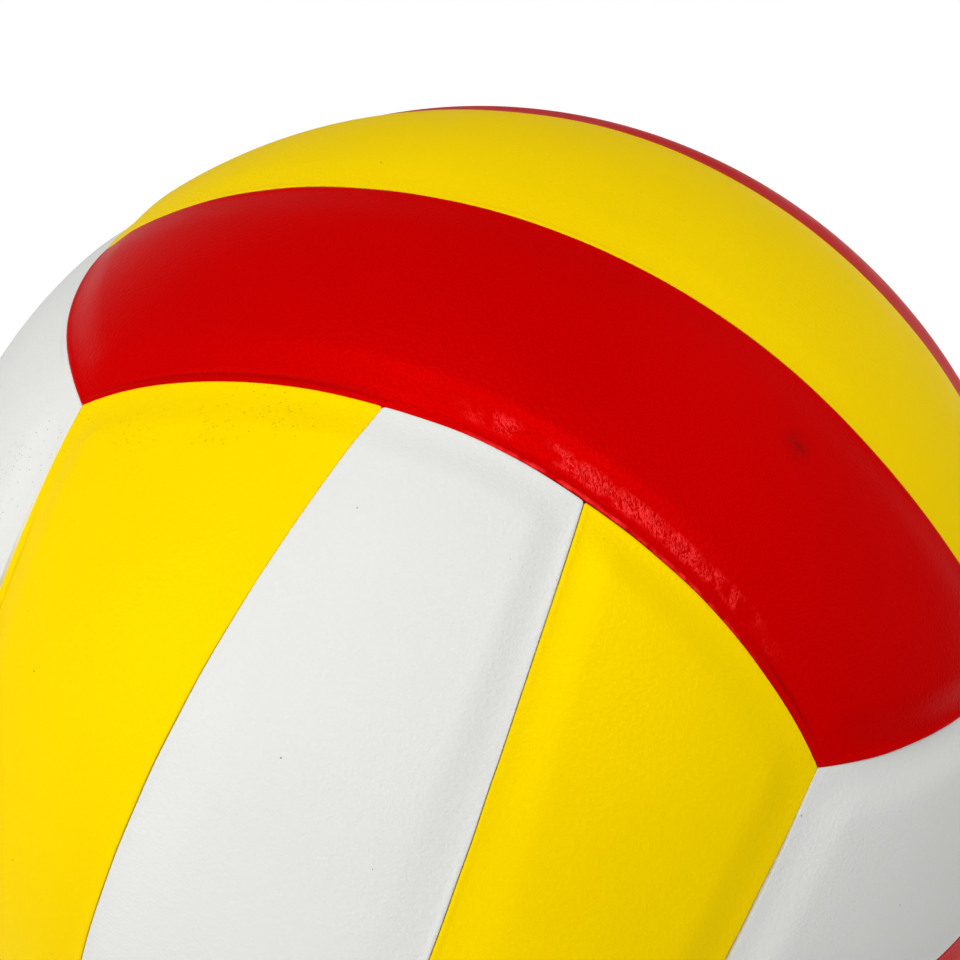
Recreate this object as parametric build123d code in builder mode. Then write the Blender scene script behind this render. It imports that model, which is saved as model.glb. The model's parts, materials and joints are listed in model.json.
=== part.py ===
"""Volleyball: eighteen sewn cover panels on foam pads, around a bladder with a needle valve.

Millimetres, +Z up, origin at the centre of the ball. Left and right are -X and +X, front and back
are -Y and +Y. The cover is six faces of three strips, each face turned a quarter turn against its
neighbours. The valve sits in the middle of the back face.
"""

import os
from math import asin, atan2, cos, sin, sqrt

from build123d import *

# Ball
ball_diameter = 210.0
ball_radius = ball_diameter / 2

# Panel layout, measured along the surface of the ball
middle_panel_waist = 48.9  # width of a middle panel halfway along
middle_panel_end = 31.7  # width of a middle panel at each end
face_edge_sine = 1 / sqrt(3)  # three faces meet on each corner direction of a cube

# Cover panel: a skin with its edge turned inward all round
skin_thickness = 1.2
seam_gap = 0.3  # between the turned-in edges of two neighbours
seam_flange_depth = 4.0  # from the ball's surface to the tip of a turned-in edge
fold_width = 1.4  # how far the fold's rounding reaches over the panel
fold_depth = 0.7  # how far it reaches down the seam

# Layers under the skin
fit_clearance = 0.05  # between bonded or closely fitted pieces
foam_margin = 5.5  # the foam pad stops this far from the seam
foam_thickness = seam_flange_depth - skin_thickness - fit_clearance
foam_radius = ball_radius - skin_thickness - fit_clearance
bladder_radius = foam_radius - foam_thickness - fit_clearance
bladder_thickness = 0.8

# Sewing thread along the inside of the turned-in edges
thread_size = 0.7
thread_depth = 2.0  # from the ball's surface to the thread

# Valve, along the outward axis of the back face
needle_radius = 1.05
needle_passage = 12.0
needle_funnel_radius = 1.9
needle_funnel_depth = 0.9
core_recess = 0.3  # the core's head lies this far below the stem's rim
core_head_radius = 3.3
core_head_height = 1.4
core_radius = 2.6
core_bulb_radius = 3.1  # snaps out under the stem and holds the core in
core_bulb_height = 2.2
core_bulb_bevel = 0.7
slit_width = 2.4
slit_gap = 0.2
stem_radius = 4.5
stem_rim_bevel = 0.3
stem_length = 16.0
flange_radius = 12.0
flange_thickness = 1.4
patch_radius = 13.0
patch_thickness = 0.6
foam_cutout_clearance = 1.0
foam_cutout_radius = max(patch_radius, flange_radius) + foam_cutout_clearance
cut_depth = 2 * seam_flange_depth  # goes right through the skin and the foam

# A strip seam is the circle in which a flat plane cuts the ball. The plane goes through the waist
# and the end of the middle panel, and leans over the middle panel by seam_lean.
waist_angle = middle_panel_waist / 2 / ball_radius
face_end_radius = sqrt(1 - face_edge_sine**2)  # share of the ball's radius
end_across = face_end_radius * sin(middle_panel_end / 2 / (face_end_radius * ball_radius))
seam_lean = atan2(sin(waist_angle) - end_across, cos(waist_angle) - face_edge_sine)
strip_seam_sine = sin(waist_angle - seam_lean)

# Each face: the way it looks, the direction across its strips, and the strips' names in that order
left_to_right = ((1, 0, 0), ("left", "middle", "right"))
front_to_back = ((0, 1, 0), ("front", "middle", "back"))
lower_to_upper = ((0, 0, 1), ("lower", "middle", "upper"))
faces = {
    "front": ((0, -1, 0), left_to_right),
    "back": ((0, 1, 0), left_to_right),
    "top": ((0, 0, 1), front_to_back),
    "bottom": ((0, 0, -1), front_to_back),
    "left": ((-1, 0, 0), lower_to_upper),
    "right": ((1, 0, 0), lower_to_upper),
}
valve_panel = ("back", "middle")

# Panels, pads and thread are drawn on the front face and then turned to the face they belong to.
outward = Vector(0, -1, 0)
across = Vector(1, 0, 0)
front_face = Plane(origin=(0, 0, 0), x_dir=across, z_dir=outward)
face_centre = front_face.offset(ball_radius)


def seam_plane(inward, sine, radius, inset):
    """The plane of the circle that runs inset mm inside a seam, on a sphere of this radius.

    inward points across the seam into the panel, and sine places the seam along it.
    """
    offset = radius * sin(asin(sine) + inset / ball_radius)
    return Plane(origin=inward * offset, z_dir=inward)


def panel_outline(strip, radius, inset):
    """The seam planes around a panel. strip is -1, 0 or 1, across the face."""
    outline = [seam_plane(outward, face_edge_sine, radius, inset)]
    for side in (-1, 1):
        off_middle = across * side * cos(seam_lean) - outward * sin(seam_lean)
        if strip == 0:
            outline.append(seam_plane(-off_middle, -strip_seam_sine, radius, inset))
        elif strip == side:
            outline.append(seam_plane(off_middle, strip_seam_sine, radius, inset))
            outline.append(seam_plane(across * -side, -face_edge_sine, radius, inset))
    return outline


def curved_slab(strip, radius, thickness, inset):
    """A piece of ball wall under one panel, with its four sides square to the surface."""
    with BuildPart() as cut_ball:
        Sphere(radius)
        for side in panel_outline(strip, radius, inset):
            split(bisect_by=side, keep=Keep.TOP)
    surface = cut_ball.faces().filter_by(GeomType.SPHERE)[0]
    with BuildPart() as slab:
        thicken(surface, amount=-thickness)
    return slab.part


def cover_panel(strip, has_valve):
    """The skin of one panel: a thin wall whose edge is turned inward to be sewn."""
    flange_face = seam_gap / 2
    body = curved_slab(strip, ball_radius, seam_flange_depth, flange_face)
    skin_underside = ball_radius - skin_thickness
    hollow = curved_slab(strip, skin_underside, cut_depth, flange_face + skin_thickness)
    with BuildPart() as panel:
        add(body)
        add(hollow, mode=Mode.SUBTRACT)
        outside = panel.faces().filter_by(GeomType.SPHERE).sort_by(SortBy.AREA)[-1]
        chamfer(outside.outer_wire().edges(), fold_width, fold_depth, reference=outside)
        if has_valve:
            with Locations(face_centre):
                Hole(stem_radius + fit_clearance, depth=cut_depth)
    return panel.part


def foam_pad(strip, has_valve):
    """The pad bonded behind a panel. It leaves the seam allowance free."""
    body = curved_slab(strip, foam_radius, foam_thickness, foam_margin)
    with BuildPart() as pad:
        add(body)
        if has_valve:
            with Locations(face_centre):
                Hole(foam_cutout_radius, depth=cut_depth)
    return pad.part


def thread_loop(strip):
    """The run of thread around the inside of one panel's turned-in edge."""
    thread_face = seam_gap / 2 + skin_thickness + fit_clearance
    top = ball_radius - thread_depth
    body = curved_slab(strip, top, thread_size, thread_face)
    inside = curved_slab(strip, top + thread_size, cut_depth, thread_face + thread_size)
    with BuildPart() as loop:
        add(body)
        add(inside, mode=Mode.SUBTRACT)
    return loop.part


os.makedirs("parts", exist_ok=True)

strips = (-1, 0, 1)
loops = []
for face_name, (looks_along, (strips_along, strip_names)) in faces.items():
    face = Plane(origin=(0, 0, 0), x_dir=strips_along, z_dir=looks_along)
    turn = face.location * front_face.location.inverse()
    for strip, strip_name in zip(strips, strip_names):
        has_valve = (face_name, strip_name) == valve_panel
        name = face_name + "_" + strip_name
        panel = cover_panel(strip, has_valve).moved(turn)
        panel.label = name + "_panel"
        export_step(panel, "parts/" + panel.label + ".step")
        pad = foam_pad(strip, has_valve).moved(turn)
        pad.label = name + "_foam"
        export_step(pad, "parts/" + pad.label + ".step")
        loops.append(thread_loop(strip).moved(turn))

with BuildPart() as seam_thread:
    add(loops)
seam_thread.part.label = "seam_thread"
export_step(seam_thread.part, "parts/seam_thread.step")

with BuildPart() as bladder:
    Sphere(bladder_radius)
    Sphere(bladder_radius - bladder_thickness, mode=Mode.SUBTRACT)
    with Locations(Plane(origin=(0, ball_radius, 0), z_dir=(0, 1, 0))):
        Hole(stem_radius + fit_clearance, depth=stem_length)
bladder.part.label = "bladder"
export_step(bladder.part, "parts/bladder.step")

# Half sections of the valve pieces, turned about the Y axis. X is the radius there.
stem_end = ball_radius - stem_length
core_top = ball_radius - core_recess
passage_end = core_top - needle_funnel_depth - needle_passage
below = (Align.MIN, Align.MAX)

with BuildPart() as valve_housing:
    with BuildSketch(Plane.XY) as housing_section:
        Circle(bladder_radius + fit_clearance + flange_thickness)
        Circle(bladder_radius + fit_clearance, mode=Mode.SUBTRACT)
        with Locations((0, ball_radius)):
            Rectangle(flange_radius, ball_radius, align=below, mode=Mode.INTERSECT)
            Rectangle(stem_radius, stem_length, align=below)
            Rectangle(core_radius + fit_clearance, stem_length, align=below, mode=Mode.SUBTRACT)
            Rectangle(
                core_head_radius + fit_clearance,
                core_recess + core_head_height + fit_clearance,
                align=below,
                mode=Mode.SUBTRACT,
            )
    revolve(axis=Axis.Y)
    rim = valve_housing.edges().filter_by(GeomType.CIRCLE).group_by(Axis.Y)[-1]
    chamfer(rim.sort_by(SortBy.RADIUS)[-1], stem_rim_bevel)
valve_housing.part.label = "valve_housing"
export_step(valve_housing.part, "parts/valve_housing.step")

with BuildPart() as valve_core:
    with BuildSketch(Plane.XY) as core_section:
        with Locations((0, core_top)):
            Rectangle(core_head_radius, core_head_height, align=below)
            Rectangle(core_radius, stem_length - core_recess + fit_clearance, align=below)
        with Locations((0, stem_end - fit_clearance)):
            Rectangle(core_bulb_radius, core_bulb_height, align=below)
        with Locations((0, core_top)):
            Rectangle(
                needle_radius,
                needle_funnel_depth + needle_passage,
                align=below,
                mode=Mode.SUBTRACT,
            )
        with BuildLine():
            Polyline(
                (0, core_top),
                (needle_funnel_radius, core_top),
                (needle_radius, core_top - needle_funnel_depth),
                (0, core_top - needle_funnel_depth),
                close=True,
            )
        make_face(mode=Mode.SUBTRACT)
    revolve(axis=Axis.Y)
    bulb_foot = valve_core.edges().filter_by(GeomType.CIRCLE).group_by(Axis.Y)[0]
    chamfer(bulb_foot.sort_by(SortBy.RADIUS)[-1], core_bulb_bevel)
    with Locations((0, passage_end, 0)):
        Box(
            slit_width,
            stem_length,
            slit_gap,
            align=(Align.CENTER, Align.MAX, Align.CENTER),
            mode=Mode.SUBTRACT,
        )
valve_core.part.label = "valve_core"
export_step(valve_core.part, "parts/valve_core.step")

with BuildPart() as valve_patch:
    with BuildSketch(Plane.XY) as patch_section:
        Circle(foam_radius)
        Circle(foam_radius - patch_thickness, mode=Mode.SUBTRACT)
        with Locations((stem_radius + fit_clearance, ball_radius)):
            Rectangle(
                patch_radius - stem_radius - fit_clearance,
                ball_radius,
                align=below,
                mode=Mode.INTERSECT,
            )
    revolve(axis=Axis.Y)
valve_patch.part.label = "valve_patch"
export_step(valve_patch.part, "parts/valve_patch.step")
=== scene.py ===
"""Volleyball: eighteen padded panels, sewn edge to edge, with their seams, grain and valve.

Metres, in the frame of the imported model: origin at the centre of the ball, +Z up, the front face
looks along -Y and the valve is in the back face. Lengths that are small on the ball are written in
millimetres and multiplied by MM.
"""

import json
from math import asin, atan2, cos, pi, radians, sin, sqrt

import bmesh
import bpy
import numpy as np
from mathutils import Matrix, Vector, noise


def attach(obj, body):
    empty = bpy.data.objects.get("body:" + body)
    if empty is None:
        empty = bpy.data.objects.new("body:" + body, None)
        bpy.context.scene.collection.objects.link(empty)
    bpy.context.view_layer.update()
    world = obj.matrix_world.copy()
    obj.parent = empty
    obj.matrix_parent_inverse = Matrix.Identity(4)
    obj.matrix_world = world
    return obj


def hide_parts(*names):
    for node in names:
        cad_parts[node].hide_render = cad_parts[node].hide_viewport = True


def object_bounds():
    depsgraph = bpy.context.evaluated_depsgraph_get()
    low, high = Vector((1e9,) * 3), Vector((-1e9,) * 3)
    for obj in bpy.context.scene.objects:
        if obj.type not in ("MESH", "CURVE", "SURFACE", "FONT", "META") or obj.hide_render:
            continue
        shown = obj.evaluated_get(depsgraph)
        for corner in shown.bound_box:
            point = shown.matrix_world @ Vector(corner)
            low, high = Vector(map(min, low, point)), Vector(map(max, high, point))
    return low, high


MM = 0.001
TINY = 1e-9  # keeps divisions away from zero

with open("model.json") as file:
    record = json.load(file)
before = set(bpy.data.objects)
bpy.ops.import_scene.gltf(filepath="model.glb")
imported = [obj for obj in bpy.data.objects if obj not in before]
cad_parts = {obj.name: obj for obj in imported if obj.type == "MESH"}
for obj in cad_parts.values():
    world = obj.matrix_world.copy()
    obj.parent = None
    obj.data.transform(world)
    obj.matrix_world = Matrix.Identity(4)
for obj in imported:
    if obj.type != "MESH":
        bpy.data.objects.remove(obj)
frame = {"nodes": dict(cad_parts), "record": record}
cad_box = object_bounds()
ball_radius = cad_box[1].y  # the valve's stem ends flush with the ball

# Panel layout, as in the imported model
middle_panel_waist = 48.9 * MM
middle_panel_end = 31.7 * MM
face_edge_sine = 1 / sqrt(3)
skin_thickness = 1.2 * MM
seam_flange_depth = 4.0 * MM
foam_margin = 5.5 * MM
bond = 0.05 * MM
valve_hole_radius = 4.65 * MM
foam_hole_radius = 14.0 * MM

waist_angle = middle_panel_waist / 2 / ball_radius
face_end_radius = sqrt(1 - face_edge_sine**2)
end_across = face_end_radius * sin(middle_panel_end / 2 / (face_end_radius * ball_radius))
seam_lean = atan2(sin(waist_angle) - end_across, cos(waist_angle) - face_edge_sine)
strip_seam_sine = sin(waist_angle - seam_lean)

# Soft form of a panel, pressed against its neighbours by the air inside
half_gap = 0.03 * MM
fold_radius = 0.18 * MM  # the tight turn of the skin into the seam
tight_seam = 0.1  # share of the fold that is left where a seam is closed tight
corner_radius = 0.45 * MM
hem_height = 0.12 * MM  # the doubled edge stands up a little beside the seam
hem_place = 0.45 * MM
lip_width = 1.6 * MM  # flat lip along the seam, over the seam allowance
slope_end = 8.5 * MM  # the slope up onto the foam ends here
slope_end_change = 0.25  # share by which that distance varies
slope_drop = 0.85 * MM
slope_drop_change = 0.4
shallow_seam = 0.3  # least and most depth of the seams inside a face, as shares of slope_drop
deep_seam = 0.9
crown = 0.5 * MM  # each panel's middle stands this much over its edges
crown_level = 0.5  # share of the crown that lies below the ball's radius
crease_place = 1.6 * MM  # where the skin is creased along the long edge of an outer strip
crease_wander = 0.5 * MM
crease_width = 0.4 * MM
crease_depth = 0.35 * MM
dent_depth = 0.12 * MM
uneven_ball = 0.2 * MM  # slow unevenness of the whole ball
seam_wander = 0.35 * MM  # sewn seams are never quite true
seam_jitter = 0.1 * MM
valve_dish = 0.55 * MM  # the cover sinks this far around the valve
valve_dish_radius = 14.0 * MM
foam_edge_radius = 1.2 * MM

# Marks of use: the direction each lies in, and how far it reaches
# creases are dented, and painted darker along the crease: painted shade
creases = [((-0.367, -0.57, 0.735), 22 * MM), ((0.5, -0.573, 0.65), 8 * MM)]
# puckers are raised, and their ridge tops get a painted highlight
puckers = [((0.225, -0.56, 0.797), 26 * MM)]
pricks = [
    ((-0.451, -0.641, 0.62), 2.5 * MM),
    ((-0.338, -0.635, 0.695), 3.5 * MM),
    ((-0.271, -0.606, 0.747), 3.5 * MM),
]
# small dents, painted darker inside: painted shade
shaded_dents = [((0.37, -0.324, 0.87), 2.0 * MM)]
pulls = [  # stretches of seam that were sewn a little to one side, with the shift
    ((-0.17, -0.24, 0.956), 35 * MM, (0, 0.6 * MM, 0)),
    ((0.53, -0.21, 0.822), 28 * MM, (0, -1.8 * MM, 0)),
    ((-0.72, -0.19, 0.663), 25 * MM, (0, -0.7 * MM, 0)),
    ((-0.21, -0.91, 0.35), 40 * MM, (0.6 * MM, 0, 0)),
    ((-0.6, -0.6, 0.53), 25 * MM, (-1.0 * MM, 1.0 * MM, 0)),
    ((0.46, 0.15, 0.87), 25 * MM, (0, -1.2 * MM, 0)),
    ((0.6, -0.57, 0.56), 20 * MM, (0.4 * MM, 0, -0.4 * MM)),
    ((0, 0.22, 0.97), 35 * MM, (0, 0.9 * MM, 0)),
    ((-0.69, -0.38, 0.62), 22 * MM, (-0.6 * MM, 0, -0.6 * MM)),
]
SOFT, FIRM, SHARP = 2, 4, 6  # how steeply a mark ends

# Where the marks lie beside the seam, and how strong they are
pucker_start = 1.7 * MM  # a band of fine puckers with a painted highlight follows the long edge of an outer strip
pucker_end = 5.0 * MM
pucker_fade = 1.0 * MM
pucker_drift = 0.5 * MM
stray_pucker = 0.5  # strength away from the listed places
bead_highlight_rise = (0.05 * MM, 0.2 * MM)  # a painted highlight line along the fold fades in and out over these
bead_highlight_fall = (0.5 * MM, 0.8 * MM)
# painted shade, with some grime: the seam gap is painted darker over this width
gap_darkening_width = 0.15 * MM
stray_prick = 0.4
# strength of the painted shade along a crease
crease_shade = 0.6

# Noise layers: the size of the lumps, and a number that picks the pattern
slope_end_noise = (50 * MM, 11)
slope_drop_noise = (30 * MM, 12)
uneven_noise = (70 * MM, 13)
crease_line_noise = (22 * MM, 14)
crease_noise = (45 * MM, 15)
pucker_drift_noise = (14 * MM, 16)
prick_noise = (26 * MM, 18)
hem_noise = (35 * MM, 19)
pucker_noise = (45 * MM, 68)
gape_noise = (40 * MM, 87)
strip_seam_noise = (70 * MM, 155)
patch_noise = (7 * MM, 258)
wander_noises = [(45 * MM, 1), (45 * MM, 2), (45 * MM, 3)]
jitter_noises = [(9 * MM, 4), (9 * MM, 5), (9 * MM, 6)]
PATTERN_STEPS = (7.31, 3.17, 5.71)  # how far one pattern lies from the next

# The noise values between which a layer fades in
crease_range = (0.25, 0.45)
prick_range = (0.5, 0.65)
hem_range = (-0.1, 0.3)
pucker_range = (0.2, 0.4)
gape_range = (-0.25, 0.3)
strip_seam_range = (0.0, 0.4)
patch_range = (-0.4, 0.0)

# Meshes
fold_rows = 4
slope_rows = 24
slope_row_power = 1.4  # over 1, the rows lie closer together near the fold
foam_edge_rows = (0.0, 0.15, 0.5, 1.0)  # shares of the foam's edge radius
fine_spacing = 1.5 * MM
coarse_spacing = 3.0 * MM
valve_reach_fine = 3  # grid cells from the panel's centre to the edge of the valve's hole
valve_reach_coarse = 2
valve_rim_steps = [0.08 * MM, 0.22 * MM, 0.5 * MM]
valve_blend_rings = 3
foam_hole_reach = 6
least_slant = 0.1  # limits how far a corner moves where its two edges are nearly in line

LEFT_TO_RIGHT = ((1, 0, 0), ("left", "middle", "right"))
FRONT_TO_BACK = ((0, 1, 0), ("front", "middle", "back"))
LOWER_TO_UPPER = ((0, 0, 1), ("lower", "middle", "upper"))
FACES = {
    "front": ((0, -1, 0), LEFT_TO_RIGHT, "yellow_cover", "white_cover"),
    "back": ((0, 1, 0), LEFT_TO_RIGHT, "yellow_cover", "white_cover"),
    "top": ((0, 0, 1), FRONT_TO_BACK, "red_cover", "yellow_cover"),
    "bottom": ((0, 0, -1), FRONT_TO_BACK, "red_cover", "yellow_cover"),
    "left": ((-1, 0, 0), LOWER_TO_UPPER, "white_cover", "red_cover"),
    "right": ((1, 0, 0), LOWER_TO_UPPER, "white_cover", "red_cover"),
}
VALVE_STRIP = "back_middle"

# Cover finish. Scales are lumps per metre, or per millimetre for the puckers. A span holds two input
# values and the two outputs that they are mapped to.
tone_scale, tone_detail, tone_span = 28.0, 3.0, (0.3, 0.7, 0.0, 1.0)
pucker_slant = 0.9  # millimetres that a pucker leans along the seam for each one across
pucker_stretch = 0.6  # below 1, puckers are longer across the seam than along it
pucker_scale, pucker_detail, pucker_twist = 1.6, 3.0, 1.2
noise_middle = 0.5
ridge_span = (0.0, 0.09, 1.2, 0.0)  # a ridge runs where the noise is near its middle value
break_scale, break_detail, break_span = 300.0, 4.0, (0.4, 0.56, 0.0, 1.3)
# painted highlight: noise that breaks the lighter line along the fold, and the gain of the mask
bead_highlight_scale, bead_highlight_detail, bead_highlight_span = 500.0, 4.0, (0.4, 0.65, 0.0, 0.7)
highlight_colour_gain = 1.3
ridge_height = 0.04 * MM
pinhole_scale, pinhole_size, pinhole_share = 170.0, 0.024, 0.8
thin_scale, thin_detail, thin_span = 60.0, 0.0, (0.4, 0.7, 0.2, 1.0)
prick_scale, prick_size, prick_share, prick_stain = 1800.0, 0.18, 0.9, 0.6
# painted shade in the small dents, broken by this noise
dent_shade_scale, dent_shade_detail, dent_shade_span = 700.0, 2.0, (0.3, 0.7, 0.15, 0.7)
# painted shade, with some grime, darkens the seam gap and creases; the strength also darkens pinholes
seam_dirt_and_shade = 0.5
stain_and_shade_strength = 0.8
pebble_scale = 1500.0
pebble_fine_scale, pebble_fine_detail = 3200.0, 1.0
hole_depth = 2.0  # as a share of the pebble's height
pebble_height = 0.05 * MM
wear_scale, wear_detail, wear_range = 90.0, 4.0, (0.3, 0.7)
wear_smoother, wear_rougher = 0.04, 0.06
plain_gloss = 0.015
film_blend = 0.5
film_range = (0.45, 0.65)  # the film shows where the surface is turned away this far
film_roughness = 0.3
film_ior = 1.3

# Finish of the inner pieces
dust_scale, dust_detail, dust_span = 160.0, 5.0, (0.4, 0.75, 0.0, 0.5)
dust_range, dust_roughness = (0.3, 0.7), 0.1
rubber_detail, rubber_height = 3.0, 0.05 * MM
foam_scale, foam_height = 1800.0, 0.15 * MM
foam_tone_span = (0.1, 0.6, 0.0, 1.0)
foam_rough_span = (0.0, 0.7, 0.95, 0.8)
weave_rough_span = (0.0, 1.0, 0.95, 0.75)
weave_height = 0.1 * MM

# Camera, in ball radii from the ball's centre
camera_place = (0.3612, -2.4008, 1.9953)
camera_aim = (0.0193, -0.6173, 0.7865)
camera_roll = 19.138
camera_lens = 63.277
camera_sensor = 36.0

# Studio: light levels are shares of a white sky
world_light = 0.22
key_light = 0.38
fill_light = 0.3
top_light = 0.55
back_light = 0.2
floor_glow = 0.45
floor_size = 12.0
floor_near = 0.3  # from here the floor fades into the white around it
floor_far = 0.9
floor_dark = (0.86, 0.86, 0.86, 1)
floor_pale = (0.88, 0.88, 0.88, 1)
floor_scale, floor_detail, floor_span = 6.0, 2.0, (0.3, 0.7, 0.0, 1.0)
PLAIN_WHITE = (1, 1, 1, 1)


def smooth_step(low, high, values):
    t = np.clip((values - low) / (high - low), 0, 1)
    return t * t * (3 - 2 * t)


def unit(vectors):
    length = np.linalg.norm(vectors, axis=-1, keepdims=True)
    return vectors / np.maximum(length, TINY)


def away_from(points, direction):
    """Distance along the ball from the place in this direction."""
    return ball_radius * np.arccos(np.clip(points @ unit(np.array(direction)), -1, 1))


def near(points, places, sharpness):
    """1 at the listed places and 0 away from them. sharpness is the power of the fall between."""
    found = np.zeros(points.shape[:-1])
    for direction, reach in places:
        found = np.maximum(found, np.exp(-((away_from(points, direction) / reach) ** sharpness)))
    return found


def noise_field(points, layer):
    """Smooth noise from about -1 to 1 at each unit direction, in lumps of the layer's size."""
    size, pattern = layer
    offset = Vector([pattern * step for step in PATTERN_STEPS])
    scale = ball_radius / size
    found = [noise.noise(Vector(p) * scale + offset) for p in points.reshape(-1, 3)]
    return np.array(found).reshape(points.shape[:-1])


def patches(points, layer, fade):
    """From 0 to 1: the places where a noise layer has risen through the two values of the fade."""
    return smooth_step(*fade, noise_field(points, layer))


class Strip:
    """One panel's outline on the unit ball, and grids of directions inside it.

    Along the sides, rows run at set distances from the seam. Each row is the circle in which the
    plane across * cos(lean) - outward * sin(lean) = sine cuts the ball.
    """

    def __init__(self, face, place):
        outward, (across, names), outer_slot, middle_slot = FACES[face]
        side = place - 1
        self.is_outer = side != 0
        self.name = face + "_" + names[place]
        self.slot = outer_slot if self.is_outer else middle_slot
        self.outward = np.array(outward, float)
        self.across = np.array(across, float) * (side or 1)
        self.along = np.cross(self.outward, self.across)
        if self.is_outer:
            self.low = (seam_lean, strip_seam_sine)
            self.high = (0.0, face_edge_sine)
        else:
            self.low = (-seam_lean, -strip_seam_sine)
            self.high = (seam_lean, strip_seam_sine)
        self.sides = []
        for (lean, sine), sign in ((self.low, 1), (self.high, -1)):
            self.sides.append((cos(lean) * self.across - sin(lean) * self.outward, sine, sign))
        self.sides.append((self.outward, face_edge_sine, 1))

    def grid(self, edge_distances, spacing, inset):
        """Unit directions in an array of rows across and columns along the panel."""
        edge = np.array(edge_distances)
        across_length = middle_panel_waist - 2 * edge[-1]
        along_length = 2 * ball_radius * np.arccos(face_edge_sine) - 2 * edge[-1]
        row_share = np.linspace(0, 1, 2 * int(across_length / spacing / 2) + 3)[1:-1]
        column_share = np.linspace(-1, 1, 2 * int(along_length / spacing / 2) + 3)[1:-1]

        turn = (edge + inset) / ball_radius
        low_sines = np.sin(asin(self.low[1]) + turn)
        high_sines = np.sin(asin(self.high[1]) - turn)[::-1]
        middle_leans = self.low[0] + row_share * (self.high[0] - self.low[0])
        middle_sines = low_sines[-1] + row_share * (high_sines[0] - low_sines[-1])
        low_leans = np.full(len(turn), self.low[0])
        high_leans = np.full(len(turn), self.high[0])
        leans = np.concatenate([low_leans, middle_leans, high_leans])
        sines = np.concatenate([low_sines, middle_sines, high_sines])

        radii = np.sqrt(1 - sines**2)
        heights = np.sin(asin(face_edge_sine) + turn)
        end_cosines = heights + (sines * np.sin(leans))[:, None]
        ends = np.arccos(end_cosines / (radii * np.cos(leans))[:, None])
        angles = np.hstack([-ends, ends[:, -1:] * column_share, ends[:, ::-1]])
        side_way = np.cos(leans)[:, None] * self.across - np.sin(leans)[:, None] * self.outward
        up_way = np.sin(leans)[:, None] * self.across + np.cos(leans)[:, None] * self.outward
        return (
            (sines[:, None] * side_way)[:, None, :]
            + (radii[:, None] * np.cos(angles))[:, :, None] * up_way[:, None, :]
            + (radii[:, None] * np.sin(angles))[:, :, None] * self.along
        )

    def distances(self, points):
        """Distance along the ball to the low side, the high side and the nearer end of the panel."""
        found = []
        for normal, sine, sign in self.sides:
            found.append(sign * ball_radius * (np.arcsin(np.clip(points @ normal, -1, 1)) - asin(sine)))
        return found

    def round_corners(self, points, radius):
        """Draws the grid's corners in along an arc, so that panels don't meet in sharp points."""
        for side in (0, 1):
            found = self.distances(points)
            ways = [unit(sign * (n - (points @ n)[..., None] * points)) for n, _, sign in self.sides]
            short_side = np.clip(radius - found[side], 0, None)
            short_end = np.clip(radius - found[2], 0, None)
            length = np.maximum(np.hypot(short_side, short_end), TINY)
            inside = (short_side > 0) & (short_end > 0)
            share = np.where(inside, np.maximum(short_side, short_end) / length, 1)
            move_side = short_side * (1 - share)
            move_end = short_end * (1 - share)
            slant = np.sum(ways[side] * ways[2], axis=-1)
            scale = np.maximum(1 - slant**2, least_slant)
            shift = ((move_side - slant * move_end) / scale)[..., None] * ways[side]
            shift = shift + ((move_end - slant * move_side) / scale)[..., None] * ways[2]
            points = unit(points + shift / ball_radius)
        return points

    def edge_distance(self, points):
        """Distance to the outline of the pressed panel, with its rounded corners."""
        low, high, end = [d - half_gap for d in self.distances(points)]
        nearest = np.minimum(np.minimum(low, high), end)
        for side in (low, high):
            corner = (side < corner_radius) & (end < corner_radius)
            rounded = corner_radius - np.hypot(corner_radius - side, corner_radius - end)
            nearest = np.where(corner, rounded, nearest)
        return np.maximum(nearest, 0)

    def relief(self, points):
        """Height of the panel's outside over the ball's radius."""
        low, high, end = self.distances(points)
        edge = self.edge_distance(points)
        reach = slope_end * (1 + slope_end_change * noise_field(points, slope_end_noise))
        strip_depth = patches(points, strip_seam_noise, strip_seam_range)
        strip_depth = shallow_seam + (deep_seam - shallow_seam) * strip_depth
        high_depth = 1.0 if self.is_outer else strip_depth
        full = np.ones(edge.shape)
        for side, share in ((low, strip_depth), (high, high_depth), (end, 1.0)):
            full = full * (1 - share * (1 - smooth_step(lip_width, reach, side)))
        drop = slope_drop * (1 + slope_drop_change * noise_field(points, slope_drop_noise))
        height = uneven_ball * noise_field(points, uneven_noise) - drop * (1 - full)
        height = height + crown * (4 * low * high / (low + high) ** 2 - crown_level)
        doubled = np.maximum(patches(points, hem_noise, hem_range), near(points, puckers, FIRM))
        height = height + hem_height * doubled * np.exp(-(((edge - hem_place) / hem_place) ** 2))
        height = height - crease_depth * self.crease(points) - dent_depth * near(points, shaded_dents, SOFT)
        if self.name == VALVE_STRIP:
            away = away_from(points, self.outward)
            height = height - valve_dish * (1 - smooth_step(valve_hole_radius, valve_dish_radius, away))
            edge = np.minimum(edge, np.maximum(away - valve_hole_radius, 0))
        turned = np.clip(fold_radius - edge, 0, fold_radius)
        return height - self.openness(points) * (fold_radius - np.sqrt(fold_radius**2 - turned**2))

    def crease(self, points):
        """From 0 to 1: a crease that runs along stretches of an outer strip's long edge."""
        if not self.is_outer:
            return np.zeros(points.shape[:-1])
        high = self.distances(points)[1]
        line = crease_place + crease_wander * noise_field(points, crease_line_noise)
        creased = np.maximum(patches(points, crease_noise, crease_range), near(points, creases, FIRM))
        return creased * np.exp(-(((high - line) / crease_width) ** 2))

    def openness(self, points):
        """How far the seam gapes, from tight_seam to 1. It is the same for both of its panels."""
        return tight_seam + (1 - tight_seam) * patches(points, gape_noise, gape_range)

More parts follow.
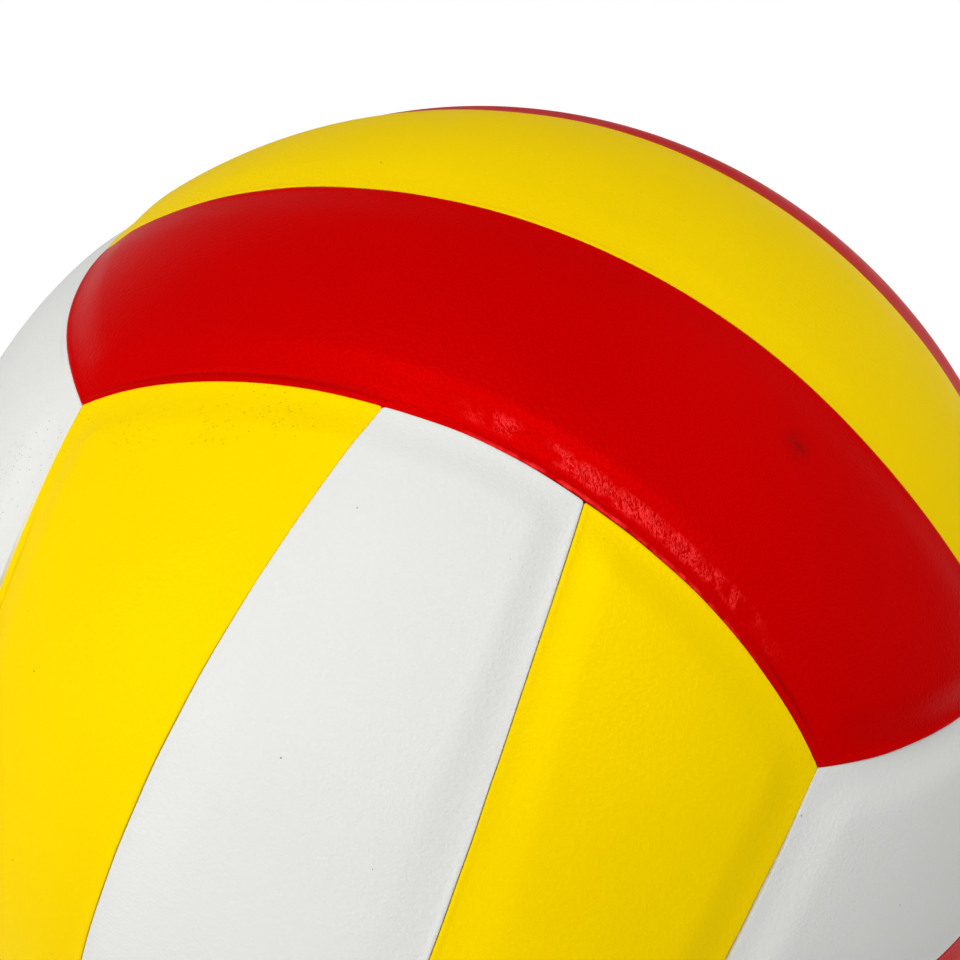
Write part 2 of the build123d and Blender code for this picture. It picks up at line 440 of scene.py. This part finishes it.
    def marks(self, points):
        """Values for the material at each point, from 0 to 1 or in millimetres."""
        high = self.distances(points)[1]
        edge = self.edge_distance(points)
        drift = high + pucker_drift * noise_field(points, pucker_drift_noise)
        band = smooth_step(pucker_start, pucker_start + pucker_fade, drift)
        band = band * (1 - smooth_step(pucker_end - pucker_fade, pucker_end, drift))
        stray = stray_pucker * patches(points, pucker_noise, pucker_range)
        spread = np.maximum(stray, near(points, puckers, SHARP))
        spread = spread * (1 - near(points, creases, SHARP)) * self.is_outer
        bead_highlight = smooth_step(*bead_highlight_rise, high) * (1 - smooth_step(*bead_highlight_fall, high))
        gap_darkening = self.openness(points) * (1 - smooth_step(0, gap_darkening_width, edge))
        pricked = stray_prick * patches(points, prick_noise, prick_range)
        return {
            # painted highlight on the ridge tops of the puckers, which are also bumped
            "puckered_and_highlit": band * spread * patches(points, patch_noise, patch_range),
            # painted highlight line along the fold
            "bead_highlighted": bead_highlight * spread,
            "pricked": np.maximum(pricked, near(points, pricks, SOFT)),
            # painted shade in the small dents
            "dent_shaded": near(points, shaded_dents, SOFT),
            # painted shade in the seam gap and creases, with some grime in the seam
            "shade_and_seam_dirt": np.maximum(gap_darkening, crease_shade * self.crease(points)),
            "along_mm": ball_radius / MM * np.arctan2(points @ self.along, points @ self.outward),
            "brow_mm": high / MM,
        }

    def open_hole(self, points, radius, reach, steps, blend_rings):
        """Bends the grid lines around the panel's centre into circles, around a hole of this radius.

        reach is the number of grid cells from the centre to the hole's edge. steps are the distances of
        the next circles from that edge, and after them the circles blend back into the plain grid.
        """
        points = points.copy()
        row, column = points.shape[0] // 2, points.shape[1] // 2
        for ring in range(reach, reach + len(steps) + blend_rings + 1):
            place = max(ring - reach - len(steps), 0)
            share = smooth_step(0, blend_rings + 1, np.array(float(place)))
            step = steps[ring - reach - 1] if 0 < ring - reach <= len(steps) else 0.0
            step = steps[-1] + place * fine_spacing if place else step
            for i, j in square_ring(ring):
                p = points[row + i, column + j]
                flat = np.array([p @ self.across, p @ self.along])
                circle = np.array([i, j]) / sqrt(i * i + j * j) * (radius + step) / ball_radius
                flat = circle * (1 - share) + flat * share
                rise = sqrt(1 - flat @ flat)
                points[row + i, column + j] = (
                    flat[0] * self.across + flat[1] * self.along + rise * self.outward
                )
        return points


def square_ring(reach):
    """Grid steps around a square, in the same turning sense as the outer loop of Shell.add_grid."""
    side = range(-reach, reach)
    ring = [(-reach, j) for j in side] + [(i, reach) for i in side]
    return ring + [(reach, -j) for j in side] + [(-i, -reach) for i in side]


def wander(points):
    """Small sideways drift, the same for both panels of a seam."""
    drift = seam_wander * np.stack([noise_field(points, layer) for layer in wander_noises], axis=-1)
    drift += seam_jitter * np.stack([noise_field(points, layer) for layer in jitter_noises], axis=-1)
    for direction, reach, shift in pulls:
        drift += near(points, [(direction, reach)], SOFT)[..., None] * np.array(shift)
    return unit(points + drift / ball_radius)


def edge_rows():
    """Distances of the rows beside a seam: close together round the fold, wider up the slope."""
    fold = fold_radius * (1 - np.cos(np.linspace(0, pi / 2, fold_rows + 1)))
    slope = np.linspace(0, 1, slope_rows + 1)[1:] ** slope_row_power
    return np.concatenate([fold, fold_radius + slope * (slope_end - fold_radius)])


class Shell:
    """Collects grids and bands of quads into one mesh."""

    def __init__(self):
        self.points = []
        self.faces = []
        self.count = 0

    def add_points(self, points):
        flat = points.reshape(-1, 3)
        numbers = self.count + np.arange(len(flat))
        self.points.append(flat)
        self.count += len(flat)
        return numbers.reshape(points.shape[:-1])

    def add_grid(self, points, outward, hole_reach=0):
        """Adds a grid of quads that faces outward or inward, and returns its outer and hole loops."""
        grid = self.add_points(points)
        rows, columns = grid.shape
        cells = np.stack([grid[:-1, :-1], grid[1:, :-1], grid[1:, 1:], grid[:-1, 1:]], axis=-1)
        keep = np.ones(cells.shape[:2], bool)
        row, column = rows // 2, columns // 2
        keep[row - hole_reach:row + hole_reach, column - hole_reach:column + hole_reach] = False
        quads = cells[keep]
        self.faces.append(quads if outward else quads[:, ::-1])
        rim = np.concatenate([grid[0, :-1], grid[:-1, -1], grid[-1, :0:-1], grid[:0:-1, 0]])
        hole = [grid[row + i, column + j] for i, j in square_ring(hole_reach)]
        return rim, np.array(hole, int)

    def add_band(self, first, second):
        """Adds quads between two loops of the same length."""
        self.faces.append(np.stack([first, np.roll(first, -1), np.roll(second, -1), second], axis=-1))

    def make(self, name, bridges, attributes):
        """Makes the object. bridges are pairs of loops whose lengths may differ. attributes hold one
        value for each of the first grid's points, and the points after it get 0."""
        points = np.concatenate(self.points)
        mesh = bpy.data.meshes.new(name)
        faces = [tuple(map(int, face)) for group in self.faces for face in group]
        mesh.from_pydata([tuple(p) for p in points], [], faces)
        for title, values in attributes.items():
            layer = mesh.attributes.new(title, "FLOAT", "POINT")
            filled = np.zeros(len(points), np.float32)
            filled[:values.size] = values.reshape(-1)
            layer.data.foreach_set("value", filled)
        edit = bmesh.new()
        edit.from_mesh(mesh)
        edit.verts.ensure_lookup_table()
        for loops in bridges:
            edges = []
            for loop in loops:
                for a, b in zip(loop, np.roll(loop, -1)):
                    edges.append(edit.edges.get((edit.verts[int(a)], edit.verts[int(b)])))
            bmesh.ops.bridge_loops(edit, edges=edges)
        bmesh.ops.recalc_face_normals(edit, faces=edit.faces)
        edit.to_mesh(mesh)
        edit.free()
        mesh.shade_smooth()
        piece = bpy.data.objects.new(name, mesh)
        bpy.context.scene.collection.objects.link(piece)
        return piece


def cover_panel(strip, material):
    """One panel: crowned outside, edge folded into the seam, turned-in flange and thin underside."""
    outside = strip.grid(edge_rows(), fine_spacing, half_gap)
    outside = strip.round_corners(outside, corner_radius + half_gap)
    under = strip.grid([0.0, coarse_spacing], coarse_spacing, half_gap + skin_thickness)
    flange = strip.grid(edge_rows(), fine_spacing, half_gap + skin_thickness)
    fine_reach, coarse_reach = 0, 0
    if strip.name == VALVE_STRIP:
        fine_reach, coarse_reach = valve_reach_fine, valve_reach_coarse
        outside = strip.open_hole(outside, valve_hole_radius, fine_reach, valve_rim_steps, valve_blend_rings)
        under = strip.open_hole(under, valve_hole_radius, coarse_reach, [], 0)
    shape = wander(outside) * (ball_radius + strip.relief(outside))[..., None]
    inner_shape = under * (ball_radius - skin_thickness + strip.relief(under))[..., None]

    shell = Shell()
    rim, hole = shell.add_grid(shape, True, fine_reach)
    walls = outside.reshape(-1, 3)[rim]  # the first grid's point numbers are also places in these lists
    inner_walls = flange.reshape(-1, 3)[rim]
    neck = shell.add_points(walls * (ball_radius - 2 * skin_thickness))
    tip = shell.add_points(walls * (ball_radius - seam_flange_depth))
    inner_tip = shell.add_points(inner_walls * (ball_radius - seam_flange_depth))
    for first, second in ((rim, neck), (neck, tip), (tip, inner_tip)):
        shell.add_band(first, second)
    under_rim, under_hole = shell.add_grid(inner_shape, False, coarse_reach)
    bridges = [(inner_tip, under_rim)]
    if strip.name == VALVE_STRIP:
        bridges.append((hole, under_hole))
    piece = shell.make(strip.name + "_cover", bridges, strip.marks(outside))
    finish_piece(piece, strip.name + "_panel", material)


def foam_pad(strip, material):
    """The pad bonded under a panel, rounded along its edges."""
    rows = [share * foam_edge_radius for share in foam_edge_rows]
    ways = strip.grid(rows, coarse_spacing, foam_margin)
    edge = np.minimum.reduce(strip.distances(ways)) - foam_margin
    reach = 0
    if strip.name == VALVE_STRIP:
        reach = foam_hole_reach
        ways = strip.open_hole(ways, foam_hole_radius, reach, [], 0)
    short = np.clip(foam_edge_radius - edge, 0, foam_edge_radius)
    top = ball_radius - skin_thickness - bond + strip.relief(ways)
    top = top - (foam_edge_radius - np.sqrt(foam_edge_radius**2 - short**2))
    shell = Shell()
    rim, hole = shell.add_grid(ways * top[..., None], True, reach)
    foot = ways * (ball_radius - seam_flange_depth)
    foot_rim, foot_hole = shell.add_grid(foot, False, reach)
    shell.add_band(rim, foot_rim)
    if reach:
        shell.add_band(foot_hole, hole)
    piece = shell.make(strip.name + "_pad", [], {})
    finish_piece(piece, strip.name + "_foam", material)


def finish_piece(piece, node, material):
    piece.data.materials.append(material)
    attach(piece, "root")
    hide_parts(node)


class Nodes:
    """Short way to add shader nodes and link them."""

    def __init__(self, material):
        material.use_nodes = True
        self.tree = material.node_tree
        self.tree.nodes.clear()

    def add(self, kind, inputs=None, **settings):
        made = self.tree.nodes.new(kind)
        for key, value in settings.items():
            setattr(made, key, value)
        for key, value in (inputs or {}).items():
            self.connect(value, made.inputs[key])
        return made

    def connect(self, value, socket):
        if isinstance(value, bpy.types.NodeSocket):
            self.tree.links.new(value, socket)
        else:
            socket.default_value = value

    def math(self, operation, first, second=0.0):
        return self.add("ShaderNodeMath", {0: first, 1: second}, operation=operation).outputs[0]

    def times(self, first, second):
        return self.math("MULTIPLY", first, second)

    def span(self, value, low, high, to_low, to_high):
        inputs = {"Value": value, "From Min": low, "From Max": high, "To Min": to_low, "To Max": to_high}
        return self.add("ShaderNodeMapRange", inputs).outputs["Result"]

    def mix(self, factor, first, second):
        made = self.add("ShaderNodeMix", data_type="RGBA")
        for name, kind, value in (("Factor", "VALUE", factor), ("A", "RGBA", first), ("B", "RGBA", second)):
            self.connect(value, next(s for s in made.inputs if s.name == name and s.type == kind))
        return next(s for s in made.outputs if s.type == "RGBA")

    def place(self):
        return self.add("ShaderNodeTexCoord").outputs["Object"]

    def noise(self, place, scale, detail, twist=0.0):
        inputs = {"Vector": place, "Scale": scale, "Detail": detail, "Distortion": twist}
        return self.add("ShaderNodeTexNoise", inputs).outputs["Fac"]

    def cells(self, place, scale):
        return self.add("ShaderNodeTexVoronoi", {"Vector": place, "Scale": scale})

    def specks(self, place, scale, size, share):
        """1 in small round spots, one in each of the given share of the cells."""
        cells = self.cells(place, scale)
        pick = self.add("ShaderNodeSeparateColor", {"Color": cells.outputs["Color"]}).outputs["Red"]
        wanted = self.math("LESS_THAN", pick, share)
        return self.times(self.math("LESS_THAN", cells.outputs["Distance"], size), wanted)

    def attribute(self, name):
        return self.add("ShaderNodeAttribute", attribute_name=name).outputs["Fac"]

    def bump(self, height, distance, normal=None):
        inputs = {"Height": height, "Distance": distance}
        if normal:
            inputs["Normal"] = normal
        return self.add("ShaderNodeBump", inputs).outputs["Normal"]

    def surface(self, **inputs):
        named = {key.replace("_", " "): value for key, value in inputs.items()}
        shader = self.add("ShaderNodeBsdfPrincipled", named)
        self.add("ShaderNodeOutputMaterial", {"Surface": shader.outputs["BSDF"]})


def pucker_ridges_and_highlight(n, place):
    """Height of a fine twisted ridge pattern, broken into short pieces, where the skin is gathered. It
    serves as the bump and as the mask of a painted highlight on the ridge tops.
    """
    across = n.attribute("brow_mm")
    along = n.math("ADD", n.attribute("along_mm"), n.times(across, pucker_slant))
    flat = {"X": along, "Y": n.times(across, pucker_stretch)}
    gathers = n.add("ShaderNodeCombineXYZ", flat).outputs["Vector"]
    waves = n.noise(gathers, pucker_scale, pucker_detail, pucker_twist)
    ridges_and_highlight = n.span(n.math("ABSOLUTE", n.math("SUBTRACT", waves, noise_middle)), *ridge_span)
    ridges_and_highlight = n.times(ridges_and_highlight, n.span(n.noise(place, break_scale, break_detail), *break_span))
    return n.times(ridges_and_highlight, n.attribute("puckered_and_highlit"))


def cover_material(name, colour, shade, stain_and_shade, highlight_colour, gloss_tint, roughness, lustre, film, pucker_and_highlight):
    """Soft grained synthetic leather: fine pebble, pinholes, slow drift in tone, and seams, creases and
    dents painted darker, as painted shade with some grime in the seams. The ridge tops of small puckers
    where the skin is gathered, and a thin line along the fold, are painted lighter as a painted highlight.
    lustre is the share of coloured gloss, film is the weight of a clear finish that shines at a low angle,
    and the last argument sets how strongly the puckers show, in bump and in painted highlight."""
    material = bpy.data.materials.new(name)
    n = Nodes(material)
    place = n.place()

    # painted highlight: puckers' ridge tops and a line along the fold are mixed toward a lighter colour
    ridges_and_highlight = pucker_ridges_and_highlight(n, place)
    bead_highlight = n.span(n.noise(place, bead_highlight_scale, bead_highlight_detail), *bead_highlight_span)
    painted_highlight = n.math("MAXIMUM", ridges_and_highlight, n.times(n.attribute("bead_highlighted"), bead_highlight))
    painted_highlight = n.times(n.math("MINIMUM", n.times(painted_highlight, highlight_colour_gain), 1.0), pucker_and_highlight)

    tone = n.mix(n.span(n.noise(place, tone_scale, tone_detail), *tone_span), shade, colour)
    tone = n.mix(painted_highlight, tone, highlight_colour)
    thinning = n.span(n.noise(place, thin_scale, thin_detail), *thin_span)
    pinholes = n.times(n.specks(place, pinhole_scale, pinhole_size, pinhole_share), thinning)
    pricked = n.specks(place, prick_scale, prick_size, n.times(n.attribute("pricked"), prick_share))
    holes = n.math("MAXIMUM", pinholes, n.times(pricked, prick_stain))
    # painted shade: the small dents are painted darker
    dent_shade = n.span(n.noise(place, dent_shade_scale, dent_shade_detail), *dent_shade_span)
    dent_shade = n.times(n.attribute("dent_shaded"), dent_shade)
    # painted shade, with some grime in the seam: the seam gap and creases are painted darker
    dirt_and_shade = n.math("MAXIMUM", n.times(n.attribute("shade_and_seam_dirt"), seam_dirt_and_shade), n.math("MAXIMUM", holes, dent_shade))
    tone = n.mix(n.times(dirt_and_shade, stain_and_shade_strength), tone, stain_and_shade)

    fine_pebble = n.noise(place, pebble_fine_scale, pebble_fine_detail)
    pebble = n.math("ADD", n.cells(place, pebble_scale).outputs["Distance"], fine_pebble)
    pebble = n.math("SUBTRACT", pebble, n.times(holes, hole_depth))
    grain = n.bump(pebble, pebble_height)
    wear = n.noise(place, wear_scale, wear_detail)
    turned_away = n.add("ShaderNodeLayerWeight", {"Blend": film_blend}).outputs["Facing"]
    n.surface(
        Base_Color=tone,
        Metallic=lustre,
        Roughness=n.span(wear, *wear_range, roughness - wear_smoother, roughness + wear_rougher),
        Normal=n.bump(ridges_and_highlight, pucker_and_highlight * ridge_height, grain),
        Specular_IOR_Level=plain_gloss,
        Specular_Tint=gloss_tint,
        Coat_Weight=n.span(turned_away, *film_range, 0.0, film) if film else 0.0,
        Coat_Roughness=film_roughness,
        Coat_IOR=film_ior,
    )
    return material


def rubber_material(name, colour, dusty, roughness, grain_scale):
    material = bpy.data.materials.new(name)
    n = Nodes(material)
    place = n.place()
    dust = n.noise(place, dust_scale, dust_detail)
    n.surface(
        Base_Color=n.mix(n.span(dust, *dust_span), colour, dusty),
        Roughness=n.span(dust, *dust_range, roughness - dust_roughness, roughness + dust_roughness),
        Normal=n.bump(n.noise(place, grain_scale, rubber_detail), rubber_height),
    )
    return material


def foam_material(name, colour, dark):
    material = bpy.data.materials.new(name)
    n = Nodes(material)
    cells = n.cells(n.place(), foam_scale).outputs["Distance"]
    n.surface(
        Base_Color=n.mix(n.span(cells, *foam_tone_span), dark, colour),
        Roughness=n.span(cells, *foam_rough_span),
        Normal=n.bump(cells, foam_height),
    )
    return material


def cloth_material(name, colour, dark, thread_scale):
    material = bpy.data.materials.new(name)
    n = Nodes(material)
    threads = {"Vector": n.place(), "Scale": thread_scale}
    warp = n.add("ShaderNodeTexWave", threads, bands_direction="X").outputs["Fac"]
    weft = n.add("ShaderNodeTexWave", threads, bands_direction="Z").outputs["Fac"]
    weave = n.times(warp, weft)
    n.surface(
        Base_Color=n.mix(weave, dark, colour),
        Roughness=n.span(weave, *weave_rough_span),
        Normal=n.bump(weave, weave_height),
    )
    return material


def floor_material(name):
    """White floor. For the camera only, a little light of its own keeps it pale near the ball, and
    further out it fades to plain white."""
    material = bpy.data.materials.new(name)
    n = Nodes(material)
    place = n.place()
    tone = n.span(n.noise(place, floor_scale, floor_detail), *floor_span)
    matt = n.add("ShaderNodeBsdfDiffuse", {"Color": n.mix(tone, floor_dark, floor_pale)})
    glow = n.add("ShaderNodeEmission", {"Strength": floor_glow})
    both = n.add("ShaderNodeAddShader", {0: matt.outputs[0], 1: glow.outputs[0]})
    white = n.add("ShaderNodeEmission", {"Strength": 1.0})
    away = n.add("ShaderNodeVectorMath", {0: place}, operation="LENGTH").outputs["Value"]
    far = n.span(away, floor_near, floor_far, 0.0, 1.0)
    seen = n.add("ShaderNodeMixShader", {0: far, 1: both.outputs[0], 2: white.outputs[0]})
    ray = n.add("ShaderNodeLightPath").outputs["Is Camera Ray"]
    choice = n.add("ShaderNodeMixShader", {0: ray, 1: matt.outputs[0], 2: seen.outputs[0]})
    n.add("ShaderNodeOutputMaterial", {"Surface": choice.outputs[0]})
    return material


def make_floor():
    low, high = -floor_size / 2, floor_size / 2
    corners = [(low, low, -ball_radius), (high, low, -ball_radius)]
    corners += [(high, high, -ball_radius), (low, high, -ball_radius)]
    mesh = bpy.data.meshes.new("floor")
    mesh.from_pydata(corners, [], [(0, 1, 2, 3)])
    mesh.materials.append(floor_material("floor_white"))
    floor = bpy.data.objects.new("floor", mesh)
    bpy.context.scene.collection.objects.link(floor)


def make_world():
    """Even pale light all round. The camera sees plain white."""
    world = bpy.data.worlds.new("studio")
    bpy.context.scene.world = world
    n = Nodes(world)
    soft = n.add("ShaderNodeBackground", {"Color": PLAIN_WHITE, "Strength": world_light})
    white = n.add("ShaderNodeBackground", {"Color": PLAIN_WHITE, "Strength": 1.0})
    ray = n.add("ShaderNodeLightPath").outputs["Is Camera Ray"]
    choice = n.add("ShaderNodeMixShader", {0: ray, 1: soft.outputs[0], 2: white.outputs[0]})
    n.add("ShaderNodeOutputWorld", {"Surface": choice.outputs[0]})


def soft_box(name, direction, distance, width, height, level, mirrored=True):
    """An oblong lamp aimed at the ball. level 1 lights a facing surface like a white sky. A lamp that
    isn't mirrored leaves no gloss on the ball."""
    data = bpy.data.lights.new(name, "AREA")
    data.shape = "RECTANGLE"
    data.size = width
    data.size_y = height
    data.energy = level * pi**2 * distance**2
    lamp = bpy.data.objects.new(name, data)
    lamp.visible_camera = False
    lamp.visible_glossy = mirrored
    lamp.location = Vector(direction).normalized() * distance
    lamp.rotation_euler = lamp.location.to_track_quat("Z", "Y").to_euler()
    bpy.context.scene.collection.objects.link(lamp)


def make_camera():
    data = bpy.data.cameras.new("camera")
    data.sensor_width = camera_sensor
    data.lens = camera_lens
    camera = bpy.data.objects.new("camera", data)
    place = Vector(camera_place) * ball_radius
    aim = Vector(camera_aim) * ball_radius
    level = (aim - place).to_track_quat("-Z", "Y").to_matrix().to_4x4()
    camera.matrix_world = Matrix.Translation(place) @ level @ Matrix.Rotation(radians(camera_roll), 4, "Z")
    bpy.context.scene.collection.objects.link(camera)
    bpy.context.scene.camera = camera


cover_materials = {
    "yellow_cover": cover_material(
        "yellow_leather",
        colour=(0.96, 0.675, 0.0, 1),
        shade=(0.93, 0.645, 0.0, 1),
        # darker colour of stains, pinholes and the painted shade in seams, creases and dents
        stain_and_shade=(0.2, 0.1, 0.01, 1),
        # lighter colour of the painted highlight
        highlight_colour=(1.0, 0.75, 0.1, 1),
        gloss_tint=(1, 0.7, 0.02, 1),
        roughness=0.42,
        lustre=0.06,
        film=0.0,
        pucker_and_highlight=0.15,
    ),
    "white_cover": cover_material(
        "white_leather",
        colour=(0.765, 0.77, 0.745, 1),
        shade=(0.735, 0.74, 0.71, 1),
        # darker colour of stains, pinholes and the painted shade in seams, creases and dents
        stain_and_shade=(0.12, 0.1, 0.07, 1),
        # lighter colour of the painted highlight
        highlight_colour=(0.9, 0.9, 0.88, 1),
        gloss_tint=PLAIN_WHITE,
        roughness=0.48,
        lustre=0.02,
        film=0.0,
        pucker_and_highlight=0.15,
    ),
    "red_cover": cover_material(
        "red_leather",
        colour=(0.61, 0.0, 0.0, 1),
        shade=(0.57, 0.0, 0.0, 1),
        # darker colour of stains, pinholes and the painted shade in seams, creases and dents
        stain_and_shade=(0.08, 0.005, 0.005, 1),
        # lighter colour of the painted highlight
        highlight_colour=(1.0, 0.03, 0.03, 1),
        gloss_tint=(1, 0.12, 0.12, 1),
        roughness=0.34,
        lustre=0.12,
        film=0.2,
        pucker_and_highlight=1.0,
    ),
}
inner_materials = {
    "foam": foam_material("pad_foam", colour=(0.8, 0.78, 0.72, 1), dark=(0.6, 0.58, 0.53, 1)),
    "thread": cloth_material(
        "sewing_thread",
        colour=(0.12, 0.11, 0.1, 1),
        dark=(0.07, 0.065, 0.06, 1),
        thread_scale=900.0,
    ),
    "bladder_rubber": rubber_material(
        "bladder_rubber",
        colour=(0.03, 0.03, 0.03, 1),
        dusty=(0.07, 0.07, 0.07, 1),
        roughness=0.55,
        grain_scale=700.0,
    ),
    "valve_rubber": rubber_material(
        "valve_rubber",
        colour=(0.035, 0.035, 0.035, 1),
        dusty=(0.07, 0.07, 0.07, 1),
        roughness=0.5,
        grain_scale=1500.0,
    ),
    "valve_core_rubber": rubber_material(
        "core_rubber",
        colour=(0.055, 0.055, 0.06, 1),
        dusty=(0.09, 0.09, 0.09, 1),
        roughness=0.4,
        grain_scale=1500.0,
    ),
    "patch_cloth": cloth_material(
        "patch_cloth",
        colour=(0.6, 0.58, 0.53, 1),
        dark=(0.36, 0.35, 0.32, 1),
        thread_scale=500.0,
    ),
}
for face_name in FACES:
    for place in range(3):
        strip = Strip(face_name, place)
        cover_panel(strip, cover_materials[strip.slot])
        foam_pad(strip, inner_materials["foam"])

for part in frame["record"]["subparts"]:
    finish = inner_materials.get(part["material_slot"]) or cover_materials[part["material_slot"]]
    node = frame["nodes"][part["node"]]
    node.data.materials.clear()
    node.data.materials.append(finish)

make_floor()
make_world()
soft_box("key", (-0.53, -0.81, 0.25), distance=1.3, width=0.8, height=0.8, level=key_light)
soft_box("fill", (0.55, 0.37, 0.75), distance=1.7, width=2.0, height=2.0, level=fill_light)
soft_box("top", (-0.12, -0.47, 0.85), distance=1.2, width=1.5, height=0.25, level=top_light)
soft_box("back", (0.35, 0.93, 0.05), distance=1.5, width=1.2, height=0.3, level=back_light, mirrored=False)
make_camera()
bpy.context.scene.view_settings.view_transform = "Standard"
